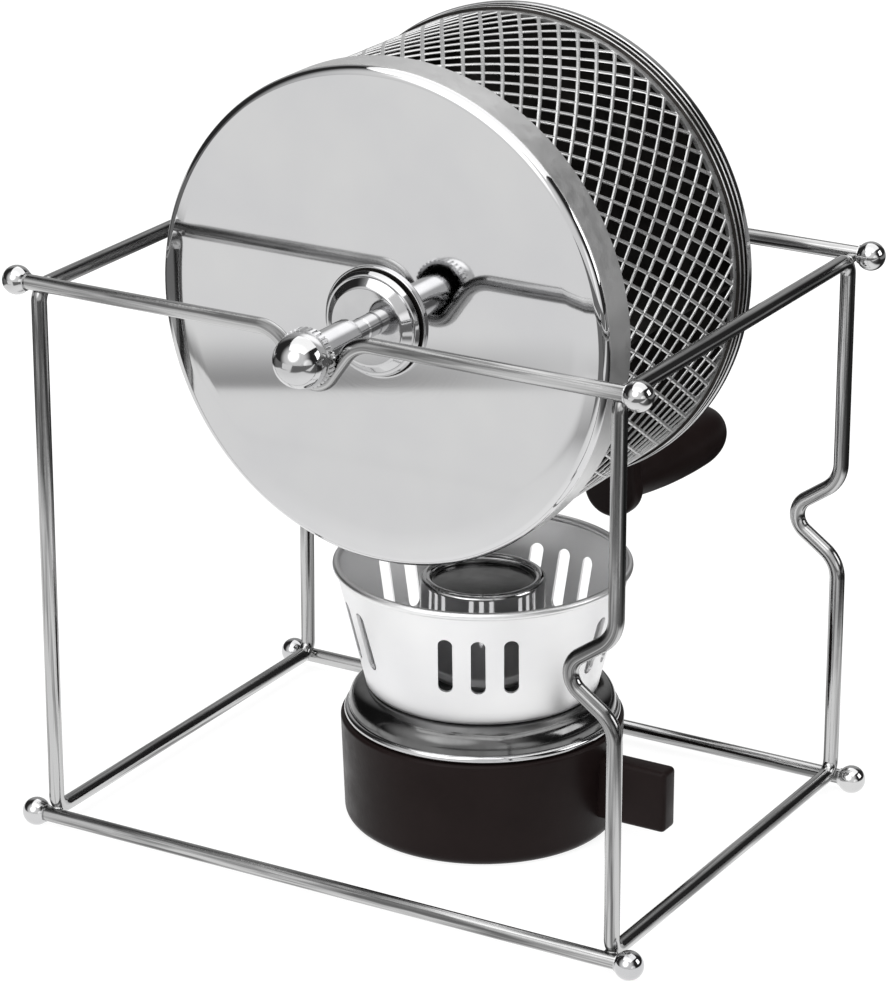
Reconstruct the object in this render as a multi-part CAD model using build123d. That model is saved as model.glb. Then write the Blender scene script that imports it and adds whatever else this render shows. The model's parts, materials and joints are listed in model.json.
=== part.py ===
from build123d import *
import os
from math import cos, pi, radians, sin, sqrt, tan

# Hand-cranked coffee roaster: a mesh drum in a wire stand, turned over a spirit burner.
# Millimetres. z = 0 is the table top, +Z is up, +X is to the right and +Y to the rear.
# x = 0 and y = 0 are the middle of the stand. The drum turns about an axis along Y.

# Wire stand
wire_d = 4.0
corner_bend = 4.0         # centre-line radius of the bends at the side loops' corners
weld_sink = 0.4           # how far crossing wires are welded into each other
ball_d = 7.6
ball_reach = 5.6          # from the side loop's wire to the middle of a ball
ball_fit = 0.05           # around the rail's end in its socket
dip_half_angle = 35.0     # between a leg of a dip and the middle of that dip
dip_bend = 5.5            # centre-line radius at the bottom of a dip
shoulder_bend = 9.0       # centre-line radius where a dip leaves its wire
axis_below_rail = 4.6     # drum axis below the top rails' centre line
side_gap = 16.4           # from the drum to the side loops' wire, at the drum's widest place
seat_gap = 0.1            # running clearance of a neck in its dip
end_play = 0.6            # of the knob and the collar beside their rails

# Drum
cap_d = 129.0
cap_wall = 1.0
lid_edge = 2.0            # outer radius of the lid's bent edge
rear_edge = 1.5           # outer radius of the rear cap's bent edge
drum_length = 80.0        # from the lid's face to the rear cap's face
lid_lip = 12.8
rear_lip = 3.5
front_gap = 28.8          # from the front rails' centre line to the lid's face
rear_gap = 18.4           # from the rear cap's face to the rear rails' centre line
mesh_thick = 0.9
lid_fit = 0.3             # radial clearance of a cap's lip over the mesh wall
hoop_fit = 0.05           # around the mesh wall, inside the rear hoop
mouth_gap = 0.3           # from the mesh wall's front edge to the bend inside the lid
mesh_around = 34          # openings in one row around the wall
mesh_rows = 6             # rows along the wall, each turned half an opening from the last
strand = 1.6              # width of the metal between two openings
front_hoop_wall = 0.8
front_hoop_length = 9.5
rear_bead_r = 0.8
rear_bead_pitch = 2.3
rear_bead_margin = 1.1    # from the rear cap's lip to the middle of the nearer bead
vane_count = 3
vane_height = 12.0
vane_thick = 1.0

# Trunnions, hubs and nuts
hub_base_d = 29.0
hub_tip_d = 20.3
hub_height = 5.2
hub_bulge = 0.3           # how far a hub's flank swells past a straight cone
rod_d = 6.0
neck_d = 9.2
front_neck_inboard = 15.3  # from the front rail's centre line to the inner end of the neck
rear_neck_inboard = 8.0
thread_d = 5.0
thread_spare = 1.0        # thread that shows past a nut
nut_flats = 8.0
nut_height = 4.0
collar_d = 14.2

# Ball knob
knob_d = 14.0
knob_skirt_d = 15.0
knob_skirt_length = 3.8
knob_socket = 5.0
groove_count = 28
groove_d = 0.8

# Crank
lever_gap = 2.6           # from the rear balls to the crank arm
lever_thick = 5.5
lever_width = 16.2
lever_reach = 76.9        # from the drum axis to the grip's axis
lever_tilt = 7.6          # of the hanging arm from straight down, towards +X
lever_edge = 1.2
lever_square = 7.0        # square of the trunnion that drives the arm
cap_nut_dome_d = 7.2
pin_d = 4.0
pin_head_d = 7.0
pin_head_height = 2.2
pin_slot = 0.8
grip_gap = 0.3            # end clearance of the grip at the arm and under the screw head
grip_bore_gap = 0.05      # running clearance of the grip on its screw
grip_length = 53.8
grip_base_d = 9.4
grip_swell_d = 17.4
grip_swell_at = 42.7      # from the arm's end of the grip to its thickest place
grip_recess_d = 8.0
grip_recess_depth = 4.0
grip_rim = 0.6            # flat ring around the recess

# Burner
burner_x = 8.3            # the burner stands loose, a little off the middle
burner_y = 4.0
base_bottom_d = 72.8
base_top_d = 75.0
base_height = 29.0
base_wall = 2.5
base_floor = 3.0
base_edge = 3.0
base_rim_edge = 0.8
tab_reach = 18.6          # beyond the top of the base
tab_thick = 6.6
tab_height = 17.1
tab_up = 7.1              # from the table to the tab
tab_edge = 1.4
tank_fit = 0.4
tank_wall = 0.6
tank_gap = 0.5            # below the lid's spigot
lid_edge_d = 73.0
lid_bead_r = 1.1
lid_top_d = 61.0
lid_rise = 8.4
lid_crown = 1.3           # how far the lid's shoulder swells past a straight cone
lid_sheet = 0.8
lid_spigot = 2.5
lid_spigot_fit = 0.2
wick_tube_d = 24.0
wick_tube_wall = 1.0
wick_tube_clear = 5.0     # from the tank's floor to the tube's lower end
wick_tube_flange = 1.0
wick_up = 1.6             # wick above its tube
snuffer_d = 33.0
snuffer_height = 30.1
snuffer_wall = 0.8
snuffer_rim = 3.0         # width of the raised ring around the dished top
snuffer_edge = 1.4        # rounding of that ring
snuffer_dish = 2.0        # depth of the dished top
snuffer_room = 0.7        # between the wick and the cap's top
snuffer_fit = 0.7         # around the wick tube's flange
shield_bottom_d = 61.0
shield_top_d = 77.2
shield_height = 33.4      # from the lid to the middle of the rim bead
shield_wall = 0.8
shield_bead_r = 1.05
shield_flange = 4.5
shield_edge = 1.6
slot_groups = 5
slots_in_group = 3
slot_group_turn = -62.0   # direction of the first group from +X
slot_turn = 14.5          # between two slots of one group
slot_width = 3.8
slot_length = 16.1
slot_up = 9.9             # from the lid to the slots
flame_gap = 9.85         # from the wind shield to the drum

# Worked-out places
wire_r = wire_d / 2
ball_r = ball_d / 2
cap_r = cap_d / 2
rod_r = rod_d / 2
neck_r = neck_d / 2
thread_r = thread_d / 2
collar_r = collar_d / 2
pin_r = pin_d / 2
lid_top_z = base_height + lid_rise
shield_rim_z = lid_top_z + shield_height
axis_z = shield_rim_z + shield_bead_r + flame_gap + cap_r
top_rail_z = axis_z + axis_below_rail
bottom_rail_z = ball_r
rear_rail_y = (front_gap + drum_length + rear_gap) / 2
front_rail_y = -rear_rail_y
lid_face_y = front_rail_y + front_gap
rear_face_y = rear_rail_y - rear_gap
lid_inside_y = lid_face_y + cap_wall
rear_inside_y = rear_face_y - cap_wall
side_x = cap_r + side_gap + wire_r
ball_x = side_x + ball_reach
loop_inset = (corner_bend + wire_d - weld_sink) / sqrt(2) - corner_bend
post_y = rear_rail_y - loop_inset
loop_bottom_z = bottom_rail_z + loop_inset
loop_top_z = top_rail_z - loop_inset
dip_depth = axis_below_rail + (neck_r + seat_gap + wire_r) / sin(radians(dip_half_angle))
dip_half_width = dip_depth * tan(radians(dip_half_angle))
mesh_outer_r = cap_r - cap_wall - lid_fit
mesh_inner_r = mesh_outer_r - mesh_thick
mesh_front_y = lid_face_y + lid_edge + mouth_gap
mesh_rear_y = rear_face_y - rear_edge
lid_lip_y = lid_face_y + lid_lip
rear_lip_y = rear_face_y - rear_lip
near_bead_y = rear_lip_y - rear_bead_margin
far_bead_y = near_bead_y - rear_bead_pitch
rear_hoop_y = far_bead_y - rear_bead_r
knob_rear_y = front_rail_y - wire_r - end_play
collar_y = rear_rail_y + wire_r + end_play
lever_y = rear_rail_y + ball_r + lever_gap
lever_rear_y = lever_y + lever_thick
grip_x = lever_reach * sin(radians(lever_tilt))
grip_z = axis_z - lever_reach * cos(radians(lever_tilt))
grip_y = lever_rear_y + grip_gap
grip_end_y = grip_y + grip_length
base_inner_top_r = base_top_d / 2 - base_wall
base_inner_bottom_r = base_bottom_d / 2 - base_wall
tank_floor_z = base_floor + tank_wall
tank_top_z = base_height - lid_spigot - tank_gap
snuffer_top_z = lid_top_z + snuffer_height
snuffer_dish_z = snuffer_top_z - snuffer_dish
wick_top_z = snuffer_dish_z - snuffer_wall - snuffer_room
wick_tube_top_z = wick_top_z - wick_up


# Shapes that several pieces share
def outline(points, rounds=()):
    """Flat face through the points. Each round is a point's index and its corner radius."""
    face = make_face(Polyline(*points, close=True))
    for index, radius in rounds:
        corner = face.vertices().sort_by_distance(points[index])[0]
        face = fillet(corner, radius)
    return face


def on_drum_axis(face):
    """Turn a face of radius and y about the drum axis."""
    return Pos(0, 0, axis_z) * revolve(face, Axis.Y)


def on_grip_axis(face):
    """Turn a face of radius and y about the grip's axis."""
    return Pos(grip_x, 0, grip_z) * revolve(face, Axis.Y)


def on_burner_axis(face):
    """Turn a face of radius and z about the burner's axis."""
    return Pos(burner_x, burner_y, 0) * revolve(Plane.XZ * face, Axis.Z)


def across_drum(y, side=1):
    """Plane square to the drum axis. For side 1 it faces the rear, and its own y points down."""
    return Plane(origin=(0, y, axis_z), x_dir=(1, 0, 0), z_dir=(0, side, 0))


def bent_wire(points, bends):
    """Round wire along straight runs, with a bend radius for each inner point."""
    path = FilletPolyline(*points, radius=bends)
    start = Plane(origin=path @ 0, z_dir=path % 0)
    return sweep(start * Circle(wire_r), path=path)


def rail_rod(y, z):
    """Plain straight rod from ball to ball."""
    return Pos(0, y, z) * Rot(Y=90) * Cylinder(wire_r, 2 * ball_x)


# Stand
def dipped_rail(y):
    """Top rail with the V dip that carries a neck of the drum."""
    points = [
        (-ball_x, y, top_rail_z),
        (-dip_half_width, y, top_rail_z),
        (0, y, top_rail_z - dip_depth),
        (dip_half_width, y, top_rail_z),
        (ball_x, y, top_rail_z),
    ]
    return bent_wire(points, [shoulder_bend, dip_bend, shoulder_bend])


def side_loop(x, kinked):
    """Closed side frame of one wire, with a V kink in each post where it is kinked."""
    kink_z = (loop_bottom_z + loop_top_z) / 2
    corners = [(x, 0, loop_bottom_z), (x, -post_y, loop_bottom_z)]
    bends = [corner_bend]
    if kinked:
        corners.append((x, -post_y, kink_z - dip_half_width))
        corners.append((x - dip_depth, -post_y, kink_z))
        corners.append((x, -post_y, kink_z + dip_half_width))
        bends += [shoulder_bend, dip_bend, shoulder_bend]
    corners += [(x, -post_y, loop_top_z), (x, 0, loop_top_z)]
    bends.append(corner_bend)
    front_half = bent_wire(corners, bends)
    loop = front_half + mirror(front_half, about=Plane.XZ)
    for y in (front_rail_y, rear_rail_y):
        for z in (bottom_rail_z, top_rail_z):
            loop -= rail_rod(y, z)
    return loop


def rail_balls(z):
    """Four balls, each with a blind socket for the end of its rail."""
    half_disc = make_face(CenterArc((0, 0), ball_r, 0, 180).edges() + Line((-ball_r, 0), (ball_r, 0)).edges())
    socket = Pos(-ball_r, 0) * Rectangle(ball_r, wire_r + ball_fit, align=(Align.MIN, Align.MIN))
    ball = revolve(half_disc - socket, Axis.X)
    balls = []
    for y in (front_rail_y, rear_rail_y):
        balls.append(Pos(ball_x, y, z) * ball)
        balls.append(Pos(-ball_x, y, z) * Rot(Z=180) * ball)
    return Compound(balls)


# Drum and lid
def cap_pan(face_y, lip, edge, side):
    """Pressed end cap with a bent edge. For side 1 its lip runs to the rear."""
    inside_y = face_y + side * cap_wall
    lip_y = face_y + side * lip
    points = [
        (thread_r, face_y),
        (cap_r, face_y),
        (cap_r, lip_y),
        (cap_r - cap_wall, lip_y),
        (cap_r - cap_wall, inside_y),
        (thread_r, inside_y),
    ]
    return on_drum_axis(outline(points, [(1, edge), (4, edge - cap_wall)]))


def hub_cone(base_y, side):
    """Swelling cone on a cap's face, with a bore for the rod. For side 1 it points to the rear."""
    base_r = hub_base_d / 2
    tip_r = hub_tip_d / 2
    tip_y = base_y + side * hub_height
    flank_middle = ((base_r + tip_r) / 2 + hub_bulge, (base_y + tip_y) / 2)
    flank = ThreePointArc((base_r, base_y), flank_middle, (tip_r, tip_y))
    bore = Polyline((tip_r, tip_y), (rod_r, tip_y), (rod_r, base_y), (base_r, base_y))
    return on_drum_axis(make_face(flank.edges() + bore.edges()))


def hex_nut(y, side):
    """Plain nut on the drum axis, from y towards the rear for side 1."""
    section = RegularPolygon(nut_flats / 2, 6, major_radius=False) - Circle(thread_r)
    return extrude(across_drum(y, side) * section, nut_height)


def front_trunnion():
    """Spigot for the knob, neck in the front dip, rod through the hub, thread inside the lid."""
    neck_end_y = front_rail_y + front_neck_inboard
    thread_end_y = lid_inside_y + nut_height + thread_spare
    points = [
        (0, knob_rear_y - knob_socket),
        (thread_r, knob_rear_y - knob_socket),
        (thread_r, knob_rear_y),
        (neck_r, knob_rear_y),
        (neck_r, neck_end_y),
        (rod_r, neck_end_y),
        (rod_r, lid_face_y),
        (thread_r, lid_face_y),
        (thread_r, thread_end_y),
        (0, thread_end_y),
    ]
    return on_drum_axis(outline(points))


def rear_trunnion():
    """Thread inside the drum, rod, neck in the rear dip, collar, square and thread for the crank."""
    thread_end_y = rear_inside_y - nut_height - thread_spare
    neck_start_y = rear_rail_y - rear_neck_inboard
    crank_thread_y = lever_rear_y + nut_height + thread_spare
    points = [
        (0, thread_end_y),
        (thread_r, thread_end_y),
        (thread_r, rear_face_y),
        (rod_r, rear_face_y),
        (rod_r, neck_start_y),
        (neck_r, neck_start_y),
        (neck_r, collar_y),
        (collar_r, collar_y),
        (collar_r, lever_y),
        (thread_r, lever_y),
        (thread_r, crank_thread_y),
        (0, crank_thread_y),
    ]
    square = Rot(Z=90 - lever_tilt) * Rectangle(lever_square, lever_square)
    return on_drum_axis(outline(points)) + extrude(across_drum(lever_y) * square, lever_thick)


def ball_knob():
    """Domed knob with a knurled skirt and a blind socket for the trunnion's spigot."""
    dome_r = knob_d / 2
    skirt_r = knob_skirt_d / 2
    dome_y = knob_rear_y - knob_skirt_length
    dome_side = (dome_r * sin(radians(45)), dome_y - dome_r * cos(radians(45)))
    dome = ThreePointArc((0, dome_y - dome_r), dome_side, (dome_r, dome_y))
    skirt = Polyline(
        (dome_r, dome_y),
        (skirt_r, dome_y),
        (skirt_r, knob_rear_y),
        (thread_r, knob_rear_y),
        (thread_r, knob_rear_y - knob_socket),
        (0, knob_rear_y - knob_socket),
        (0, dome_y - dome_r),
    )
    knob = on_drum_axis(make_face(dome.edges() + skirt.edges()))
    groove = extrude(across_drum(knob_rear_y, -1) * Pos(skirt_r, 0) * Circle(groove_d / 2), knob_skirt_length)
    turns = [360 / groove_count * k for k in range(groove_count)]
    return knob - [Pos(0, 0, axis_z) * Rot(Y=turn) * Pos(0, 0, -axis_z) * groove for turn in turns]


def mesh_wall():
    """Drum wall with interleaved rows of diamond openings between two plain margins."""
    wall = revolve(
        outline([
            (mesh_inner_r, mesh_front_y),
            (mesh_outer_r, mesh_front_y),
            (mesh_outer_r, mesh_rear_y),
            (mesh_inner_r, mesh_rear_y),
        ]),
        Axis.Y,
    )
    pitch_around = 2 * pi * mesh_outer_r / mesh_around
    pitch_along = (rear_hoop_y - lid_lip_y) / (mesh_rows + 1)
    diamond_depth = pitch_around / 2 * pitch_along / sqrt((pitch_around / 2) ** 2 + pitch_along ** 2)
    clear_share = 1 - strand / 2 / diamond_depth
    half_around = pitch_around / 2 * clear_share
    half_along = pitch_along * clear_share
    diamond = outline([(half_along, 0), (0, half_around), (-half_along, 0), (0, -half_around)])
    cutter = extrude(Plane.YZ.offset(mesh_inner_r - mesh_thick) * diamond, 3 * mesh_thick)
    cutters = []
    for row in range(mesh_rows):
        row_y = lid_lip_y + pitch_along * (row + 1)
        for place in range(mesh_around):
            turn = 360 / mesh_around * (place + row % 2 / 2)
            cutters.append(Rot(Y=turn) * Pos(0, row_y, 0) * cutter)
    return Pos(0, 0, axis_z) * (wall - cutters)


def front_hoop():
    """Band that stiffens the mouth of the mesh wall from inside."""
    points = [
        (mesh_inner_r - front_hoop_wall, mesh_front_y),
        (mesh_inner_r, mesh_front_y),
        (mesh_inner_r, mesh_front_y + front_hoop_length),
        (mesh_inner_r - front_hoop_wall, mesh_front_y + front_hoop_length),
    ]
    return on_drum_axis(outline(points))


def rear_hoop():
    """Band between the mesh wall and the rear cap's lip, with two beads beside the lip."""
    inner_r = mesh_outer_r + hoop_fit
    band_r = mesh_outer_r + lid_fit
    points = [
        (inner_r, rear_hoop_y),
        (band_r, rear_hoop_y),
        (band_r, mesh_rear_y),
        (inner_r, mesh_rear_y),
    ]
    band = outline(points)
    outside = outline([
        (inner_r, rear_hoop_y),
        (cap_r, rear_hoop_y),
        (cap_r, rear_lip_y),
        (inner_r, rear_lip_y),
    ])
    for y in (near_bead_y, far_bead_y):
        band += outside & Pos(band_r, y) * Circle(rear_bead_r)
    return on_drum_axis(band)


def stirring_vanes():
    """Lengthwise fins on the inside of the mesh wall, behind the front hoop."""
    front_y = mesh_front_y + front_hoop_length
    length = mesh_rear_y - front_y
    middle_y = (front_y + mesh_rear_y) / 2
    fin = Pos(mesh_inner_r - vane_height / 2, middle_y, 0) * Box(vane_height, length, vane_thick)
    fin &= Pos(0, middle_y, 0) * Rot(X=90) * Cylinder(mesh_inner_r, length)
    turns = [360 / vane_count * k for k in range(vane_count)]
    return Compound([Pos(0, 0, axis_z) * Rot(Y=turn) * fin for turn in turns])


# Crank
def crank_arm():
    """Flat arm with round ends, hanging from the trunnion's square to the grip's screw."""
    along = Rot(Z=90 - lever_tilt)
    bar = along * Pos(lever_reach / 2, 0) * SlotCenterToCenter(lever_reach, lever_width)
    arm = extrude(across_drum(lever_y) * bar, lever_thick)
    faces = arm.faces().sort_by(Axis.Y)
    arm = fillet(faces[0].edges() + faces[-1].edges(), lever_edge)
    square = along * Rectangle(lever_square, lever_square)
    screw_hole = along * Pos(lever_reach, 0) * Circle(pin_r)
    return arm - extrude(across_drum(lever_y) * (square + screw_hole), lever_thick)


def crank_nut():
    """Domed nut that holds the arm on its square."""
    dome_y = lever_rear_y + nut_height
    blank = extrude(across_drum(lever_rear_y) * RegularPolygon(nut_flats / 2, 6, major_radius=False), nut_height)
    dome = Pos(0, dome_y, axis_z) * Sphere(cap_nut_dome_d / 2)
    thread = extrude(across_drum(lever_rear_y) * Circle(thread_r), nut_height + thread_spare)
    in_front = Pos(0, lever_rear_y - cap_nut_dome_d / 2, axis_z) * Box(cap_nut_dome_d, cap_nut_dome_d, cap_nut_dome_d)
    return blank + (dome - in_front) - thread


def grip_screw():
    """Long screw on which the grip turns, fixed in the arm, with a slotted head in the grip's recess."""
    head_y = grip_end_y - grip_recess_depth + grip_gap
    points = [
        (0, lever_y),
        (pin_r, lever_y),
        (pin_r, head_y),
        (pin_head_d / 2, head_y),
        (pin_head_d / 2, head_y + pin_head_height),
        (0, head_y + pin_head_height),
    ]
    slot = Pos(grip_x, head_y + pin_head_height, grip_z) * Box(pin_head_d, pin_head_height, pin_slot)
    return on_grip_axis(outline(points)) - slot


def grip():
    """Turned handle, slim at the arm, thickest towards its round end."""
    base = (grip_base_d / 2, grip_y)
    swell = (grip_swell_d / 2, grip_y + grip_swell_at)
    tip_r = grip_recess_d / 2 + grip_rim
    nose_length = grip_length - grip_swell_at
    nose = EllipticalCenterArc((tip_r, swell[1]), swell[0] - tip_r, nose_length, start_angle=0, arc_size=90)
    flank = TangentArc(swell, base, tangent=(0, -1))
    bore_r = pin_r + grip_bore_gap
    recess_y = grip_end_y - grip_recess_depth
    inside = Polyline(
        (tip_r, grip_end_y),
        (grip_recess_d / 2, grip_end_y),
        (grip_recess_d / 2, recess_y),
        (bore_r, recess_y),
        (bore_r, grip_y),
        base,
    )
    return on_grip_axis(make_face(flank.edges() + nose.edges() + inside.edges()))


# Burner
def burner_base():
    """Moulded cup that stands on the table, with a flat tab on its right to hold it by."""
    points = [
        (0, 0),
        (base_bottom_d / 2, 0),
        (base_top_d / 2, base_height),
        (base_inner_top_r, base_height),
        (base_inner_bottom_r, base_floor),
        (0, base_floor),
    ]
    cup = on_burner_axis(outline(points, [(1, base_edge), (2, base_rim_edge)]))
    tab_length = base_top_d / 2 + tab_reach - base_inner_top_r
    tab = Box(tab_length, tab_thick, tab_height)
    outer_face = tab.faces().sort_by(Axis.X)[-1]
    long_edges = tab.edges().filter_by(Axis.X)
    tab = fillet(outer_face.edges() + long_edges, tab_edge)
    tab_middle_x = burner_x + base_inner_top_r + tab_length / 2
    return cup + Pos(tab_middle_x, burner_y, tab_up + tab_height / 2) * tab


def base_inner_r(z):
    """Radius of the cup's tapered inside at a height."""
    share = (z - base_floor) / (base_height - base_floor)
    return base_inner_bottom_r + share * (base_inner_top_r - base_inner_bottom_r)


def fuel_tank():
    """Thin can that stands in the base and follows its taper."""
    low_r = base_inner_bottom_r - tank_fit
    floor_r = base_inner_r(tank_floor_z) - tank_fit
    top_r = base_inner_r(tank_top_z) - tank_fit
    points = [
        (0, base_floor),
        (low_r, base_floor),
        (top_r, tank_top_z),
        (top_r - tank_wall, tank_top_z),
        (floor_r - tank_wall, tank_floor_z),
        (0, tank_floor_z),
    ]
    return on_burner_axis(outline(points))


def lid_dome(shrink):
    """Solid under the lid's shoulder and flat top, smaller all over by the given amount."""
    edge = (lid_edge_d / 2 - lid_bead_r - shrink, base_height + lid_bead_r)
    top = (lid_top_d / 2 - shrink, lid_top_z - shrink)
    shoulder_middle = ((edge[0] + top[0]) / 2 + lid_crown, (edge[1] + top[1]) / 2 + lid_crown)
    shoulder = ThreePointArc(edge, shoulder_middle, top)
    rest = Polyline(top, (0, top[1]), (0, base_height), (edge[0], base_height), edge)
    return on_burner_axis(make_face(shoulder.edges() + rest.edges()))


def burner_lid():
    """Pressed lid on the base's rim: beaded edge, spigot inside the rim, round shoulder, flat top."""
    bead = on_burner_axis(Pos(lid_edge_d / 2 - lid_bead_r, base_height + lid_bead_r) * Circle(lid_bead_r))
    spigot_r = base_inner_top_r - lid_spigot_fit
    spigot_low_z = base_height - lid_spigot
    spigot_low_r = base_inner_r(spigot_low_z) - lid_spigot_fit
    spigot = on_burner_axis(outline([
        (spigot_low_r - lid_sheet, spigot_low_z),
        (spigot_low_r, spigot_low_z),
        (spigot_r, base_height),
        (spigot_r, base_height + lid_sheet),
        (spigot_r - lid_sheet, base_height + lid_sheet),
    ]))
    seat = on_burner_axis(outline([
        (spigot_r - lid_sheet, base_height),
        (lid_edge_d / 2 - lid_bead_r, base_height),
        (lid_edge_d / 2 - lid_bead_r, base_height + lid_sheet),
        (spigot_r - lid_sheet, base_height + lid_sheet),
    ]))
    tube_hole = Pos(burner_x, burner_y, lid_top_z) * Cylinder(wick_tube_d / 2, 2 * lid_rise)
    return (lid_dome(0) - lid_dome(lid_sheet)) + bead + spigot + seat - tube_hole


def wick_tube():
    """Tube through the lid, hung on a flange, open at both ends."""
    outer_r = wick_tube_d / 2
    inner_r = outer_r - wick_tube_wall
    flange_r = snuffer_d / 2 - snuffer_wall - snuffer_fit
    low_z = tank_floor_z + wick_tube_clear
    points = [
        (inner_r, low_z),
        (outer_r, low_z),
        (outer_r, lid_top_z),
        (flange_r, lid_top_z),
        (flange_r, lid_top_z + wick_tube_flange),
        (outer_r, lid_top_z + wick_tube_flange),
        (outer_r, wick_tube_top_z),
        (inner_r, wick_tube_top_z),
    ]
    return on_burner_axis(outline(points))


def wick():
    """Packed wick from the tank's floor to just above its tube."""
    wick_r = wick_tube_d / 2 - wick_tube_wall
    points = [(0, tank_floor_z), (wick_r, tank_floor_z), (wick_r, wick_top_z), (0, wick_top_z)]
    return on_burner_axis(outline(points))


def snuffer_cap():
    """Cap that stands on the lid over the wick tube, with a dished top inside a raised ring."""
    outer_r = snuffer_d / 2
    inner_r = outer_r - snuffer_wall
    dish_r = outer_r - snuffer_rim
    points = [
        (0, snuffer_dish_z),
        (dish_r, snuffer_dish_z),
        (dish_r, snuffer_top_z),
        (outer_r, snuffer_top_z),
        (outer_r, lid_top_z),
        (inner_r, lid_top_z),
        (inner_r, snuffer_top_z - snuffer_wall),
        (dish_r + snuffer_wall, snuffer_top_z - snuffer_wall),
        (dish_r + snuffer_wall, snuffer_dish_z - snuffer_wall),
        (0, snuffer_dish_z - snuffer_wall),
    ]
    return on_burner_axis(outline(points, [(2, snuffer_edge), (3, snuffer_edge)]))


def wind_shield():
    """Flaring shield with a rim bead, groups of slots and a flange that rests on the lid."""
    bottom_r = shield_bottom_d / 2
    top_r = shield_top_d / 2
    points = [
        (bottom_r - shield_flange, lid_top_z),
        (bottom_r, lid_top_z),
        (top_r, shield_rim_z),
        (top_r - shield_wall, shield_rim_z),
        (bottom_r - shield_wall, lid_top_z + shield_wall),
        (bottom_r - shield_flange, lid_top_z + shield_wall),
    ]
    section = outline(points, [(1, shield_edge), (4, shield_edge - shield_wall)])
    section += Pos(top_r, shield_rim_z) * Circle(shield_bead_r)
    slot = Rot(Z=90) * SlotOverall(slot_length, slot_width)
    slot_z = lid_top_z + slot_up + slot_length / 2
    slot_depth = top_r - bottom_r + 2 * shield_edge
    cutter = extrude(Plane.YZ.offset(bottom_r - shield_edge) * Pos(0, slot_z) * slot, slot_depth)
    cutters = []
    for group in range(slot_groups):
        for place in range(slots_in_group):
            turn = slot_group_turn + 360 / slot_groups * group
            turn += slot_turn * (place - (slots_in_group - 1) / 2)
            cutters.append(Pos(burner_x, burner_y, 0) * Rot(Z=turn) * cutter)
    return on_burner_axis(section) - cutters


pieces = {
    "left_side_loop": side_loop(-side_x, False),
    "right_side_loop": side_loop(side_x, True),
    "front_top_rail": dipped_rail(front_rail_y),
    "rear_top_rail": dipped_rail(rear_rail_y),
    "front_bottom_rail": rail_rod(front_rail_y, bottom_rail_z),
    "rear_bottom_rail": rail_rod(rear_rail_y, bottom_rail_z),
    "foot_balls": rail_balls(bottom_rail_z),
    "top_balls": rail_balls(top_rail_z),
    "front_cap": cap_pan(lid_face_y, lid_lip, lid_edge, 1),
    "lid_hub": hub_cone(lid_face_y, -1),
    "front_trunnion": front_trunnion(),
    "ball_knob": ball_knob(),
    "lid_nut": hex_nut(lid_inside_y, 1),
    "mesh_wall": mesh_wall(),
    "front_hoop": front_hoop(),
    "rear_hoop": rear_hoop(),
    "rear_cap": cap_pan(rear_face_y, rear_lip, rear_edge, -1),
    "rear_hub": hub_cone(rear_face_y, 1),
    "rear_trunnion": rear_trunnion(),
    "drum_nut": hex_nut(rear_inside_y, -1),
    "stirring_vanes": stirring_vanes(),
    "crank_arm": crank_arm(),
    "crank_nut": crank_nut(),
    "grip_screw": grip_screw(),
    "grip": grip(),
    "burner_base": burner_base(),
    "fuel_tank": fuel_tank(),
    "burner_lid": burner_lid(),
    "wick_tube": wick_tube(),
    "wick": wick(),
    "snuffer_cap": snuffer_cap(),
    "wind_shield": wind_shield(),
}

os.makedirs("parts", exist_ok=True)
for name, shape in pieces.items():
    export_step(shape, f"parts/{name}.step")
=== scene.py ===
import json
from math import acos, ceil, cos, degrees, pi, radians, sin, tan

import bmesh
import bpy
from mathutils import Matrix, Vector


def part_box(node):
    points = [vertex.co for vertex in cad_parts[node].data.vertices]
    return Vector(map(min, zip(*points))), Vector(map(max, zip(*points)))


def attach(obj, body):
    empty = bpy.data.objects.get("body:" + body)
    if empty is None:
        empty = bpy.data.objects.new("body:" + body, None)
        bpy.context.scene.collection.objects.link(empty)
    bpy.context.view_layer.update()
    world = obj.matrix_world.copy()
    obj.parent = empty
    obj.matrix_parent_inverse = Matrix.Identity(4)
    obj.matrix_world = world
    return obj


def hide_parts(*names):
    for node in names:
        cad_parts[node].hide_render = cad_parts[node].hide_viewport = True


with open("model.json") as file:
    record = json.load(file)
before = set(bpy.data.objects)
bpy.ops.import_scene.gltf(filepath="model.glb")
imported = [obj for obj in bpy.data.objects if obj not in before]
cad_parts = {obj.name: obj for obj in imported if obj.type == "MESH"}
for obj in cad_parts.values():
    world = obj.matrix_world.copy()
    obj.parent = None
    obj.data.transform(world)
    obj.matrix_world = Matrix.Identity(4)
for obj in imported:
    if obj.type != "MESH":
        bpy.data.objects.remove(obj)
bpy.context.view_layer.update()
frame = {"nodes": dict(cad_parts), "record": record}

# Hand-cranked coffee roaster: a mesh drum in a chromed wire stand over a spirit burner.
# Metres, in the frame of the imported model: z = 0 is the table, +X right, +Y to the rear.

nodes = frame["nodes"]
mm = 0.001


# Places and sizes read from the frame
def middle(node):
    """Middle of a node's box."""
    low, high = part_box(node)
    return (low + high) / 2


def half_width(node):
    """Half of a node's width, which is the radius of a round one."""
    low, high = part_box(node)
    return (high.x - low.x) / 2


def reach_y(node):
    """Front and rear end of a node."""
    low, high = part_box(node)
    return low.y, high.y


axis = middle("rear_cap")
axis.y = 0
cap_r = half_width("front_cap")
lid_face_y, lid_lip_y = reach_y("front_cap")
rear_lip_y, rear_face_y = reach_y("rear_cap")
mesh_r = half_width("mesh_wall")
mesh_front_y, mesh_rear_y = reach_y("mesh_wall")
rear_hoop_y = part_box("rear_hoop")[0].y

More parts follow.
